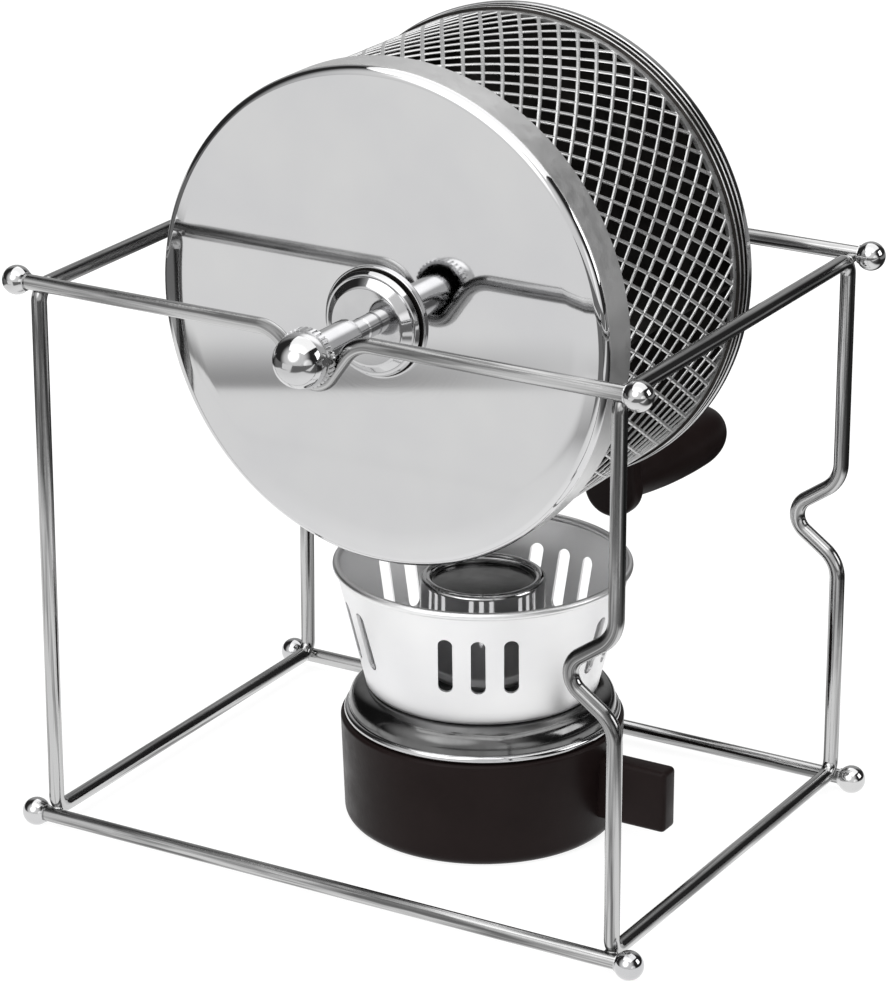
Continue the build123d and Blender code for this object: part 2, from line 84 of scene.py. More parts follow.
front_rail_y = middle("front_bottom_rail").y
rear_rail_y = middle("rear_bottom_rail").y
bottom_rail_z = middle("front_bottom_rail").z
wire_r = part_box("front_bottom_rail")[1].z - bottom_rail_z
rail_end_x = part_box("front_bottom_rail")[1].x
top_rail_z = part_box("front_top_rail")[1].z - wire_r
dip_low_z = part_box("front_top_rail")[0].z + wire_r
ball_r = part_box("foot_balls")[1].z - bottom_rail_z
ball_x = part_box("foot_balls")[1].x - ball_r

left_loop_x = middle("left_side_loop").x
right_loop_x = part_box("right_side_loop")[1].x - wire_r
kink_low_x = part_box("right_side_loop")[0].x + wire_r
post_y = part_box("left_side_loop")[1].y - wire_r
loop_bottom_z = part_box("left_side_loop")[0].z + wire_r
loop_top_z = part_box("left_side_loop")[1].z - wire_r
kink_z = (loop_bottom_z + loop_top_z) / 2

hub_r = half_width("lid_hub")
hub_tip_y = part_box("lid_hub")[0].y
knob_front_y, knob_rear_y = reach_y("ball_knob")
rear_hub_tip_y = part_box("rear_hub")[1].y
collar_r = half_width("rear_trunnion")
lever_y, lever_rear_y = reach_y("crank_arm")

grip_axis = middle("grip")
grip_axis.y = 0
grip_y, grip_end_y = reach_y("grip")
grip_r = half_width("grip")

burner = middle("burner_lid")
burner.z = 0
base_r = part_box("burner_base")[1].y - burner.y
base_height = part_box("burner_base")[1].z
tab_end_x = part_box("burner_base")[1].x
lid_bead_r = half_width("burner_lid")
lid_top_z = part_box("burner_lid")[1].z
snuffer_r = half_width("snuffer_cap")
snuffer_top_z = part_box("snuffer_cap")[1].z
shield_rim_r = half_width("wind_shield")
shield_top_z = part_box("wind_shield")[1].z

# Sizes that the boxes don't give
dip_half_angle = radians(35)
dip_bend = 5.5 * mm
shoulder_bend = 9.0 * mm
corner_bend = 4.0 * mm
cap_wall = 1.0 * mm
lid_edge = 2.2 * mm
rear_edge = 1.5 * mm
rod_r = 3.0 * mm
neck_r = 4.6 * mm
thread_r = 2.5 * mm
front_neck_start_y = front_rail_y + 15.3 * mm
rear_neck_start_y = rear_rail_y - 8.0 * mm
hub_tip_r = 10.15 * mm
strand_half_width = 0.55 * mm
strand_half_depth = 0.30 * mm
strands_around = 68
strand_pitch = 9.65 * mm
lever_width = 16.2 * mm
moulded_round = 1.4 * mm
grip_base_r = 4.7 * mm
grip_swell_y = grip_y + 42.7 * mm
base_bottom_r = 36.4 * mm
base_wall = 2.5 * mm
base_floor = 3.0 * mm
tab_thick = 6.6 * mm
tab_low_z = 7.1 * mm
tab_high_z = 24.2 * mm
shield_bottom_r = 30.5 * mm
shield_wall = 0.8 * mm
shield_bead = 1.05 * mm
shield_flange = 4.5 * mm
slot_width = 3.8 * mm
slot_low_z = lid_top_z + 9.9 * mm
slot_high_z = slot_low_z + 16.1 * mm
slot_groups = 5
slot_group_turn = radians(-62)
slot_step = 8.45 * mm

DRUM = (axis, Vector((0, 1, 0)), Vector((1, 0, 0)))
GRIP = (grip_axis, Vector((0, 1, 0)), Vector((1, 0, 0)))
BURNER = (burner, Vector((0, 0, 1)), Vector((1, 0, 0)))


# Finishes
around_wire = "around_wire"  # attribute of a wire's points: their way out from its middle


def new_finish(name):
    """Empty finish with its shader."""
    material = bpy.data.materials.new(name)
    material.use_nodes = True
    tree = material.node_tree
    tree.nodes.clear()
    shader = tree.nodes.new("ShaderNodeBsdfPrincipled")
    output = tree.nodes.new("ShaderNodeOutputMaterial")
    tree.links.new(shader.outputs["BSDF"], output.inputs["Surface"])
    return material, tree, shader


def object_place(tree, centre=(0, 0, 0)):
    """Object coordinates about a centre."""
    coords = tree.nodes.new("ShaderNodeTexCoord")
    shift = tree.nodes.new("ShaderNodeMapping")
    shift.vector_type = "POINT"
    shift.inputs["Location"].default_value = [-c for c in centre]
    tree.links.new(coords.outputs["Object"], shift.inputs["Vector"])
    return shift.outputs["Vector"]


def noise(tree, place, scale, detail=3.0):
    """Cloudy pattern with so many clouds to a metre."""
    node = tree.nodes.new("ShaderNodeTexNoise")
    node.inputs["Scale"].default_value = scale
    node.inputs["Detail"].default_value = detail
    node.inputs["Roughness"].default_value = 0.55
    tree.links.new(place, node.inputs["Vector"])
    return node.outputs["Fac"]


def spread(tree, value, low, high, from_low=0.3, from_high=0.7):
    """Map a pattern onto a range of values."""
    node = tree.nodes.new("ShaderNodeMapRange")
    node.inputs["From Min"].default_value = from_low
    node.inputs["From Max"].default_value = from_high
    node.inputs["To Min"].default_value = low
    node.inputs["To Max"].default_value = high
    tree.links.new(value, node.inputs["Value"])
    return node.outputs["Result"]


def colour(tree, shader, pattern, first, second, start=0.3, stop=0.7):
    """Base colour: the first where the pattern is low, the second where it is high."""
    node = tree.nodes.new("ShaderNodeMix")
    node.data_type = "RGBA"
    node.inputs["A"].default_value = (*first, 1)
    node.inputs["B"].default_value = (*second, 1)
    tree.links.new(spread(tree, pattern, 0, 1, start, stop), node.inputs["Factor"])
    tree.links.new(node.outputs["Result"], shader.inputs["Base Color"])


def gloss(tree, shader, pattern, smooth, rough):
    """Roughness: smooth where the pattern is low, rough where it is high."""
    tree.links.new(spread(tree, pattern, smooth, rough), shader.inputs["Roughness"])


def relief(tree, shader, pattern, height):
    """Fine dents in the surface, as deep as the height."""
    node = tree.nodes.new("ShaderNodeBump")
    node.inputs["Strength"].default_value = 1.0
    node.inputs["Distance"].default_value = height
    tree.links.new(pattern, node.inputs["Height"])
    tree.links.new(node.outputs["Normal"], shader.inputs["Normal"])


def rings(tree, place, pitch):
    """Fine turning marks: a pattern of the distance from the drum's axis."""
    split = tree.nodes.new("ShaderNodeSeparateXYZ")
    join = tree.nodes.new("ShaderNodeCombineXYZ")
    length = tree.nodes.new("ShaderNodeVectorMath")
    length.operation = "LENGTH"
    count = tree.nodes.new("ShaderNodeMath")
    count.operation = "MULTIPLY"
    count.inputs[1].default_value = 1 / pitch
    tree.links.new(place, split.inputs["Vector"])
    for letter in "XZ":
        tree.links.new(split.outputs[letter], join.inputs[letter])
    tree.links.new(join.outputs["Vector"], length.inputs[0])
    tree.links.new(length.outputs["Value"], count.inputs[0])
    grain = tree.nodes.new("ShaderNodeTexNoise")
    grain.noise_dimensions = "1D"
    grain.inputs["Scale"].default_value = 1.0
    grain.inputs["Detail"].default_value = 2.0
    tree.links.new(count.outputs["Value"], grain.inputs["W"])
    return grain.outputs["Fac"]


def grey(tone):
    """Colour without a hue."""
    return (tone, tone, tone)


def metal(name, bright, dull, smooth, rough, clouds, share):
    """Metal whose tone and gloss drift over the surface. A share below 1 leaves a dull film."""
    material, tree, shader = new_finish(name)
    place = object_place(tree)
    shader.inputs["Metallic"].default_value = share
    colour(tree, shader, noise(tree, place, clouds), bright, dull)
    gloss(tree, shader, noise(tree, place, clouds * 4, detail=4.0), smooth, rough)
    return material


def polished_plate_finish():
    """Mirror-polished end plate with faint turning marks about the drum axis."""
    turning_pitch = 0.35 * mm
    material, tree, shader = new_finish("polished_plate")
    place = object_place(tree, axis)
    shader.inputs["Metallic"].default_value = 1.0
    colour(tree, shader, noise(tree, place, 30.0), grey(0.64), (0.60, 0.60, 0.61))
    gloss(tree, shader, rings(tree, place, turning_pitch), 0.035, 0.055)
    return material


def brown_moulding_finish():
    """Dark brown pressed moulding, a little glossy, with a faint flow pattern."""
    dark = (0.0106, 0.0064, 0.0062)
    light = (0.0142, 0.0090, 0.0087)
    material, tree, shader = new_finish("brown_moulding")
    place = object_place(tree)
    colour(tree, shader, noise(tree, place, 60.0, detail=5.0), dark, light)
    gloss(tree, shader, noise(tree, place, 220.0), 0.30, 0.42)
    shader.inputs["Specular IOR Level"].default_value = 0.09
    relief(tree, shader, noise(tree, place, 900.0, detail=2.0), 0.02 * mm)
    return material


def shield_finish():
    """Satin aluminium, spun, with fine marks around the burner's axis."""
    material, tree, shader = new_finish("shield_aluminium")
    place = object_place(tree, burner)
    split = tree.nodes.new("ShaderNodeSeparateXYZ")
    tree.links.new(place, split.inputs["Vector"])
    height = tree.nodes.new("ShaderNodeCombineXYZ")
    tree.links.new(split.outputs["Z"], height.inputs["Z"])
    spun = noise(tree, height.outputs["Vector"], 2600.0, detail=2.0)
    shader.inputs["Metallic"].default_value = 1.0
    colour(tree, shader, noise(tree, place, 40.0), grey(0.88), (0.83, 0.83, 0.84))
    gloss(tree, shader, spun, 0.32, 0.46)
    relief(tree, shader, spun, 0.006 * mm)
    return material


def wire_finish():
    """Plated wire, with streaks of drawing that run along it: rougher along them, and darkened in
    colour as painted dark reflection.
    """
    streaks_across = 1.5
    drift_along = 14.0
    material, tree, shader = new_finish("wire_chrome")
    place = object_place(tree)
    across = tree.nodes.new("ShaderNodeAttribute")
    across.attribute_name = around_wire
    along = tree.nodes.new("ShaderNodeVectorMath")
    along.operation = "MULTIPLY_ADD"
    along.inputs[1].default_value = (drift_along, drift_along, drift_along)
    tree.links.new(place, along.inputs[0])
    tree.links.new(across.outputs["Vector"], along.inputs[2])
    drawing_streak_and_painted_reflection = noise(tree, along.outputs["Vector"], streaks_across, detail=4.0)
    shader.inputs["Metallic"].default_value = 1.0
    # Painted dark reflection: the streaks darken the wire's colour.
    colour(tree, shader, drawing_streak_and_painted_reflection, grey(0.51), grey(0.13), start=0.42, stop=0.62)
    gloss(tree, shader, drawing_streak_and_painted_reflection, 0.08, 0.24)
    relief(tree, shader, noise(tree, place, 500.0), 0.012 * mm)
    return material


def wick_finish():
    """Packed cotton, cream with darker fibres."""
    cream = (0.62, 0.56, 0.46)
    shadow = (0.36, 0.31, 0.25)
    material, tree, shader = new_finish("wick_cotton")
    fibre = noise(tree, object_place(tree), 1200.0, detail=4.0)
    colour(tree, shader, fibre, cream, shadow)
    shader.inputs["Roughness"].default_value = 0.95
    relief(tree, shader, fibre, 0.25 * mm)
    return material


finishes = {
    "wire_chrome": wire_finish(),
    "polished_plate": polished_plate_finish(),
    "brown_moulding": brown_moulding_finish(),
    "shield_aluminium": shield_finish(),
    "wick_cotton": wick_finish(),
}
# Bright tone, dull tone, least and most roughness, clouds to a metre, share of metal
metals = {
    "bright_chrome": (grey(0.60), (0.52, 0.52, 0.53), 0.05, 0.11, 60.0, 1.0),
    "satin_chrome": (grey(0.78), grey(0.72), 0.32, 0.42, 80.0, 0.88),
    # Darkened chrome: painted shade and dark reflection on the burner lid's top and in the snuffer's
    # dish
    "smoked_chrome": (grey(0.19), grey(0.10), 0.10, 0.20, 70.0, 1.0),
    "mesh_steel": (grey(0.76), grey(0.62), 0.24, 0.38, 150.0, 0.9),
    # Near-black steel: painted shade inside the drum, on its stirring vanes, and in the grooves of the
    # hubs and the rear band
    "roasted_steel": ((0.045, 0.042, 0.040), (0.022, 0.020, 0.019), 0.45, 0.62, 120.0, 1.0),
    "plain_steel": (grey(0.50), (0.40, 0.40, 0.41), 0.25, 0.40, 150.0, 1.0),
    "tube_brass": ((0.72, 0.52, 0.24), (0.58, 0.40, 0.17), 0.18, 0.34, 120.0, 1.0),
}
for metal_name, values in metals.items():
    finishes[metal_name] = metal(metal_name, *values)


# Making a piece
guard = 0.15 * mm  # flat kept beside a round, so that the flat shades as flat
round_steps = 8
merge_gap = 0.004 * mm  # points closer than this become one


def new_piece(bm, name, body, slot, replaced=(), crease=32, linings=()):
    """Close the mesh up, turn its faces outwards, and hang it on its body with its finish."""
    bmesh.ops.remove_doubles(bm, verts=bm.verts, dist=merge_gap)
    bmesh.ops.recalc_face_normals(bm, faces=bm.faces)
    for face in bm.faces:
        face.smooth = True
    for edge in bm.edges:
        if len(edge.link_faces) == 2 and edge.calc_face_angle(0) > radians(crease):
            edge.smooth = False
    mesh = bpy.data.meshes.new(name)
    bm.to_mesh(mesh)
    bm.free()
    piece = bpy.data.objects.new(name, mesh)
    bpy.context.scene.collection.objects.link(piece)
    for finish in (slot, *linings):
        mesh.materials.append(finishes[finish])
    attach(piece, body)
    if replaced:
        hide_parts(*replaced)


def turn(bm, place, points, rounds=(), closed=True, steps=128):
    """Turn an outline of radius and distance about an axis. Each round is an index and a length."""
    centre, along, out = place
    sizes = dict(rounds)
    corners = []
    rounded = []
    for index, (r, d) in enumerate(points):
        size = sizes.get(index, 0)
        here = Vector((r, d))
        before = Vector(points[index - 1]) - here
        after = Vector(points[(index + 1) % len(points)]) - here
        spots = [here]
        if size and before.length > 2 * (size + guard):
            spots.insert(0, here + before.normalized() * (size + guard))
        if size and after.length > 2 * (size + guard):
            spots.append(here + after.normalized() * (size + guard))
        made = [bm.verts.new(centre + out * spot.x + along * spot.y) for spot in spots]
        corners += made
        if size:
            rounded.append((made[spots.index(here)], size))
    for pair in zip(corners, corners[1:]):
        bm.edges.new(pair)
    if closed:
        bm.edges.new((corners[-1], corners[0]))
    others = set(bm.verts) - set(corners)
    for corner, size in rounded:
        bmesh.ops.bevel(
            bm, geom=[corner], offset=size, affect="VERTICES",
            segments=round_steps, profile=0.5, material=-1
        )
    verts = [v for v in bm.verts if v not in others]
    edges = [e for e in bm.edges if e.verts[0] not in others]
    bmesh.ops.spin(
        bm, geom=verts + edges, cent=centre, axis=along, angle=2 * pi, steps=steps, use_merge=True
    )


def arc(centre, radius, start, end, count):
    """Points on a round stretch of an outline, angles in degrees."""
    angles = [radians(start + (end - start) * k / count) for k in range(count + 1)]
    return [(centre[0] + radius * cos(a), centre[1] + radius * sin(a)) for a in angles]


def new_ring(bm, centre, direction, radius, sides=28):
    """Circle of edges across a wire."""
    turned = direction.to_track_quat("Z", "Y").to_matrix().to_4x4()
    made = bmesh.ops.create_circle(
        bm, segments=sides, radius=radius, matrix=Matrix.Translation(centre) @ turned
    )
    return list({e for v in made["verts"] for e in v.link_edges})


def run_wire(bm, points, bends, capped=True):
    """Round wire along straight runs, with a bend of its own radius at each inner point."""
    bend_facet = radians(6)
    points = [Vector(p) for p in points]
    way_out = bm.verts.layers.float_vector.new(around_wire)
    ring = new_ring(bm, points[0], points[1] - points[0], wire_r)
    for vert in {v for e in ring for v in e.verts}:
        vert[way_out] = (vert.co - points[0]) / wire_r
    if capped:
        bmesh.ops.edgeloop_fill(bm, edges=ring)
    here = points[0]
    for before, corner, after, bend in zip(points, points[1:], points[2:], bends):
        coming = (corner - before).normalized()
        going = (after - corner).normalized()
        angle = coming.angle(going)
        stop = corner - coming * bend * tan(angle / 2)
        ring = lengthen(bm, ring, stop - here)
        hinge = coming.cross(going).normalized()
        centre = stop + hinge.cross(coming) * bend
        steps = max(3, ceil(angle / bend_facet))
        spun = bmesh.ops.spin(
            bm, geom=ring + list({v for e in ring for v in e.verts}),
            cent=centre, axis=hinge, angle=angle, steps=steps
        )
        ring = [g for g in spun["geom_last"] if isinstance(g, bmesh.types.BMEdge)]
        here = corner + going * bend * tan(angle / 2)
    ring = lengthen(bm, ring, points[-1] - here)
    if capped:
        bmesh.ops.edgeloop_fill(bm, edges=ring)


def lengthen(bm, ring, step):
    """Pull a ring of edges along a straight run."""
    made = bmesh.ops.extrude_edge_only(bm, edges=ring)["geom"]
    verts = [g for g in made if isinstance(g, bmesh.types.BMVert)]
    bmesh.ops.translate(bm, verts=verts, vec=step)
    return [g for g in made if isinstance(g, bmesh.types.BMEdge)]


def disc(bm, spot, radius, sides):
    """Flat disc that faces the rear."""
    facing_rear = Matrix.Rotation(radians(-90), 4, "X")
    made = bmesh.ops.create_circle(
        bm, segments=sides, radius=radius, cap_ends=True, matrix=Matrix.Translation(spot) @ facing_rear
    )
    return made["verts"]


def push_out(bm, verts, step):
    """Give a flat face, known by its corners, a thickness."""
    up = bmesh.ops.extrude_face_region(bm, geom=[verts[0].link_faces[0]])["geom"]
    far = [g for g in up if isinstance(g, bmesh.types.BMVert)]
    bmesh.ops.translate(bm, verts=far, vec=step)
    return far


def round_off(bm, edges, size, steps):
    """Round edges of a mesh."""
    bmesh.ops.bevel(
        bm, geom=edges, offset=size, affect="EDGES", segments=steps, profile=0.5, material=-1
    )


def cut_away(bm, cutters):
    """Cut one mesh out of another."""
    holders = []
    for shape, name in ((bm, "uncut_wall"), (cutters, "wall_cutters")):
        bmesh.ops.recalc_face_normals(shape, faces=shape.faces)
        mesh = bpy.data.meshes.new(name)
        shape.to_mesh(mesh)
        shape.free()
        holders.append(bpy.data.objects.new(name, mesh))
        bpy.context.scene.collection.objects.link(holders[-1])
    wall, bars = holders
    cut = wall.modifiers.new("cut", "BOOLEAN")
    cut.operation = "DIFFERENCE"
    cut.solver = "EXACT"
    cut.object = bars
    graph = bpy.context.evaluated_depsgraph_get()
    result = bmesh.new()
    result.from_mesh(wall.evaluated_get(graph).data)
    for holder in holders:
        bpy.data.objects.remove(holder)
    return result


# Wire stand
apex_cut = dip_bend * (1 / sin(dip_half_angle) - 1)
dip_depth = top_rail_z - dip_low_z + apex_cut
kink_depth = right_loop_x - kink_low_x + apex_cut


def top_rail(name, y):
    """Straight rail with a dip in its middle that carries a neck of the drum."""
    half = dip_depth * tan(dip_half_angle)
    points = [
        (-rail_end_x, y, top_rail_z),
        (-half, y, top_rail_z),
        (0, y, top_rail_z - dip_depth),
        (half, y, top_rail_z),
        (rail_end_x, y, top_rail_z),
    ]
    bm = bmesh.new()
    run_wire(bm, points, [shoulder_bend, dip_bend, shoulder_bend])
    new_piece(bm, name + "_wire", "stand", "wire_chrome", [name])


def bottom_rail(name, y):
    """Straight rail between two feet."""
    bm = bmesh.new()
    run_wire(bm, [(-rail_end_x, y, bottom_rail_z), (rail_end_x, y, bottom_rail_z)], [])
    new_piece(bm, name + "_wire", "stand", "wire_chrome", [name])


def post_points(x, y, kinked):
    """Points up a post, with the sideways kink of the right-hand loop."""
    if not kinked:
        return [], []
    half = kink_depth * tan(dip_half_angle)
    points = [(x, y, kink_z - half), (x - kink_depth, y, kink_z), (x, y, kink_z + half)]
    return points, [shoulder_bend, dip_bend, shoulder_bend]


def side_loop(name, x, kinked):
    """One closed wire: two posts, a bottom run and a top run with round corners."""
    rear_points, rear_bends = post_points(x, post_y, kinked)
    front_points, front_bends = post_points(x, -post_y, kinked)
    corner = [corner_bend]
    points = [
        (x, 0, loop_bottom_z),
        (x, post_y, loop_bottom_z),
        *rear_points,
        (x, post_y, loop_top_z),
        (x, -post_y, loop_top_z),
        *front_points[::-1],
        (x, -post_y, loop_bottom_z),
        (x, 0, loop_bottom_z),
    ]
    bends = corner + rear_bends + corner * 2 + front_bends + corner
    bm = bmesh.new()
    run_wire(bm, points, bends, capped=False)
    new_piece(bm, name + "_wire", "stand", "wire_chrome", [name])


def rail_balls(node, z):
    """Turned balls on the ends of the rails, each with a small ring around its rail."""
    ring_r = 1.2 * wire_r
    ring_length = 0.3 * mm
    ring_angle = degrees(acos(ring_r / ball_r))
    ball = arc((0, 0), ball_r, -ring_angle, 90, 20)
    ring_end = ball[0][1] - ring_length
    outline = [(0, ring_end), (ring_r, ring_end), *ball]
    bm = bmesh.new()
    for y in (front_rail_y, rear_rail_y):
        for side in (-1, 1):
            place = (Vector((side * ball_x, y, z)), Vector((side, 0, 0)), Vector((0, 0, 1)))
            turn(bm, place, outline, closed=False, steps=40)
    new_piece(bm, node + "_turned", "stand", "bright_chrome", [node])


def corner_welds():
    """Small beads of weld where each loop's corner lies against its rail."""
    bead_size = Matrix.Diagonal((1.9 * mm, 1.35 * mm, 1.35 * mm, 1))
    bm = bmesh.new()
    bend_share = corner_bend * (1 - cos(radians(45)))
    for x in (left_loop_x, right_loop_x):
        for y_side, rail_y in ((-1, front_rail_y), (1, rear_rail_y)):
            for z_side, rail_z in ((-1, bottom_rail_z), (1, top_rail_z)):
                rail = Vector((x, rail_y, rail_z))
                loop_y = y_side * (post_y - bend_share)
                loop_z = (loop_top_z - bend_share) if z_side > 0 else (loop_bottom_z + bend_share)
                loop = Vector((x, loop_y, loop_z))
                spot = Matrix.Translation((rail + loop) / 2)
                bmesh.ops.create_icosphere(bm, subdivisions=3, radius=1, matrix=spot @ bead_size)
    new_piece(bm, "corner_welds", "stand", "wire_chrome")


# Drum
def from_axis(spot):
    """Distance of a point from the drum's axis."""
    return (spot - axis - Vector((0, spot.y, 0))).length


def pan(name, node, face_y, lip_y, edge, body, lip_finish):
    """Pressed end plate: flat face, crowned margin, round edge and a lip, painted near-black and dull
    inside as the shade within the drum.
    """
    side = 1 if lip_y > face_y else -1
    crown = 5.0 * mm
    drop = 0.35 * mm
    crown_round = 0.45 * crown
    rim_round = 0.3 * mm
    inner_round = edge - 0.8 * cap_wall
    hair = 0.01 * mm
    lip_skin = 0.1 * mm
    inner_y = face_y + side * cap_wall
    inner_r = cap_r - cap_wall
    crown_r = cap_r - edge - crown
    edge_drop = side * drop * (crown + edge) / crown
    points = [
        (thread_r, face_y),
        (crown_r, face_y),
        (cap_r, face_y + edge_drop),
        (cap_r, lip_y),
        (inner_r, lip_y),
        (inner_r, inner_y + edge_drop),
        (crown_r, inner_y),
        (thread_r, inner_y),
    ]
    rounds = [
        (1, crown_round), (2, edge), (3, rim_round), (4, rim_round), (5, inner_round), (6, crown_round)
    ]
    bm = bmesh.new()
    turn(bm, DRUM, points, rounds, steps=180)
    # Painted shade: the faces inside the drum take the near-black lining; the lip's outer skin takes
    # the lip's finish.
    for face in bm.faces:
        spot = face.calc_center_median()
        depth = (spot.y - inner_y) * side
        radius = from_axis(spot)
        if depth > -hair and radius < inner_r + hair:
            face.material_index = 1
        elif radius > cap_r - lip_skin:
            face.material_index = 2
    new_piece(bm, name, body, "polished_plate", [node], linings=["roasted_steel", lip_finish])


def hub(name, node, base_y, tip_y, body):
    """Turned hub: base ring, groove painted dark as shade, steep flank, ledge, cone and a flat end
    around the rod.
    """
    side = 1 if tip_y > base_y else -1
    ring = 0.9 * mm
    groove_r = hub_r - 2.0 * mm
    flank_start = 2.1 * mm
    flank_y = base_y + side * flank_start
    flank_r = hub_r - 0.8 * mm
    ledge_y = tip_y - side * 1.9 * mm
    ledge_r = hub_tip_r + 2.7 * mm
    cone_r = hub_tip_r + 2.0 * mm
    outer_round = 0.35 * mm
    flank_round = 0.25 * mm
    ledge_round = 0.3 * mm
    painted_shade_r = groove_r + 0.8 * mm
    hair = 0.1 * mm
    points = [
        (thread_r, base_y),
        (hub_r, base_y),
        (hub_r, base_y + side * ring),
        (groove_r, base_y + side * ring),
        (groove_r, flank_y),
        (flank_r, flank_y),
        (ledge_r, ledge_y),
        (cone_r, ledge_y),
        (hub_tip_r, tip_y),
        (thread_r, tip_y),
    ]
    rounds = [(2, outer_round), (5, flank_round), (6, ledge_round), (8, outer_round)]
    bm = bmesh.new()
    turn(bm, DRUM, points, rounds)
    # Painted shade: the groove and the foot of the flank take the near-black lining.
    for face in bm.faces:
        spot = face.calc_center_median()
        depth = (spot.y - base_y) * side
        if 0.8 * ring < depth < flank_start + hair and from_axis(spot) < painted_shade_r:
            face.material_index = 1
    new_piece(bm, name, body, "bright_chrome", [node], linings=["roasted_steel"])


def lid_trunnion():
    """Rod of the lid with a groove, and the neck that lies in the front dip."""
    low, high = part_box("front_trunnion")
    groove_y = hub_tip_y - 2.6 * mm
    groove_r = rod_r - 0.4 * mm
    groove_half = 0.5 * mm
    groove_floor_half = 0.2 * mm
    points = [
        (0, low.y),
        (thread_r, low.y),
        (thread_r, knob_rear_y),
        (neck_r, knob_rear_y),
        (neck_r, front_neck_start_y),
        (rod_r, front_neck_start_y),
        (rod_r, groove_y - groove_half),
        (groove_r, groove_y - groove_floor_half),
        (groove_r, groove_y + groove_floor_half),
        (rod_r, groove_y + groove_half),
        (rod_r, lid_face_y),
        (thread_r, lid_face_y),
        (thread_r, high.y),
        (0, high.y),
    ]
    rounds = [(3, 0.5 * mm), (4, 0.7 * mm)]  # both ends of the neck
    bm = bmesh.new()
    turn(bm, DRUM, points, rounds, closed=False, steps=64)
    new_piece(bm, "lid_trunnion_turned", "drum_lid", "bright_chrome", ["front_trunnion"])


def crank_trunnion():
    """Rear rod, the neck in the rear dip, and the collar that the crank arm sits against."""
    low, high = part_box("rear_trunnion")
    collar_y = rear_rail_y + wire_r + 0.6 * mm
    points = [
        (0, low.y),
        (thread_r, low.y),
        (thread_r, rear_face_y),
        (rod_r, rear_face_y),
        (rod_r, rear_neck_start_y),
        (neck_r, rear_neck_start_y),
        (neck_r, collar_y),
        (collar_r, collar_y),
        (collar_r, lever_y),
        (thread_r, lever_y),
        (thread_r, high.y),
        (0, high.y),
    ]
    rounds = [(5, 0.6 * mm), (7, 0.4 * mm), (8, 0.4 * mm)]  # front of the neck, edges of the collar
    bm = bmesh.new()
    turn(bm, DRUM, points, rounds, closed=False, steps=64)
    new_piece(bm, "crank_trunnion_turned", "drum", "bright_chrome", ["rear_trunnion"])


def knob():
    """Ball knob with a knurled skirt behind it."""
    teeth = 36
    corners_per_tooth = 4
    knurl_depth = 0.5 * mm
    skirt_r = half_width("ball_knob")
    dome_r = skirt_r - knurl_depth
    dome_y = knob_front_y + dome_r
    waist_r = skirt_r - 1.0 * mm
    waist_y = dome_y + 1.6 * mm
    skirt_y = dome_y + 1.5 * mm
    bm = bmesh.new()
    points = arc((0, dome_y), dome_r, -90, 12, 26)
    points += [(waist_r, waist_y), (waist_r, knob_rear_y), (0, knob_rear_y)]
    turn(bm, DRUM, points, closed=False, steps=96)
    start = axis + Vector((0, skirt_y, 0))
    skirt = disc(bm, start, skirt_r, teeth * corners_per_tooth)
    valley = 1 - knurl_depth / skirt_r
    for vert in skirt[::corners_per_tooth]:
        vert.co = start + (vert.co - start) * valley
    push_out(bm, skirt, Vector((0, knob_rear_y - start.y, 0)))
    new_piece(bm, "ball_knob_turned", "drum_lid", "bright_chrome", ["ball_knob"])


def mesh_drum():
    """Drum wall: two families of slanting strands joined at their crossings, between plain margins."""
    margin_depth = 0.9 * mm
    front_margin_y = lid_lip_y - 1.5 * mm
    rear_margin_y = rear_hoop_y - 1.8 * mm
    hidden_end = 0.5 * mm
    sides = 8
    steps = 16
    bm = bmesh.new()
    for start_y, end_y in ((mesh_front_y, front_margin_y), (rear_margin_y, mesh_rear_y)):
        points = [
            (mesh_r - margin_depth, start_y),
            (mesh_r, start_y),
            (mesh_r, end_y),
            (mesh_r - margin_depth, end_y),
        ]
        turn(bm, DRUM, points, steps=2 * strands_around)
    start_y = front_margin_y - hidden_end
    length = rear_margin_y + hidden_end - start_y
    twist_rate = 2 * pi / strands_around / strand_pitch
    slope = twist_rate * mesh_r
    flat = strand_half_depth / strand_half_width
    # The way a family leans, its radius, and the turn of its first strand
    families = (
        (-1, mesh_r - strand_half_depth, radians(88.5)),
        (1, mesh_r - 1.2 * strand_half_depth, radians(91.1)),
    )
    for side, layer_r, first_turn in families:
        first = first_turn + side * twist_rate * start_y
        for place in range(strands_around):
            begin = first + 2 * pi * place / strands_around
            out = Vector((sin(begin), 0, cos(begin)))
            heading = Vector((out.z * side * slope, 1, -out.x * side * slope))
            middle_of_strand = axis + out * layer_r + Vector((0, start_y, 0))
            ring = new_ring(bm, middle_of_strand, heading, strand_half_width, sides)
            verts = list({v for e in ring for v in e.verts})
            for vert in verts:
                vert.co -= out * (vert.co - middle_of_strand).dot(out) * (1 - flat)
            bmesh.ops.edgeloop_fill(bm, edges=ring)
            spun = bmesh.ops.spin(
                bm, geom=ring + verts, cent=axis, axis=(0, 1, 0),
                dvec=(0, length / steps, 0), angle=side * twist_rate * length, steps=steps
            )
            last = [g for g in spun["geom_last"] if isinstance(g, bmesh.types.BMEdge)]
            bmesh.ops.edgeloop_fill(bm, edges=last)
    new_piece(bm, "mesh_drum_wall", "drum", "mesh_steel", ["mesh_wall"], crease=70)


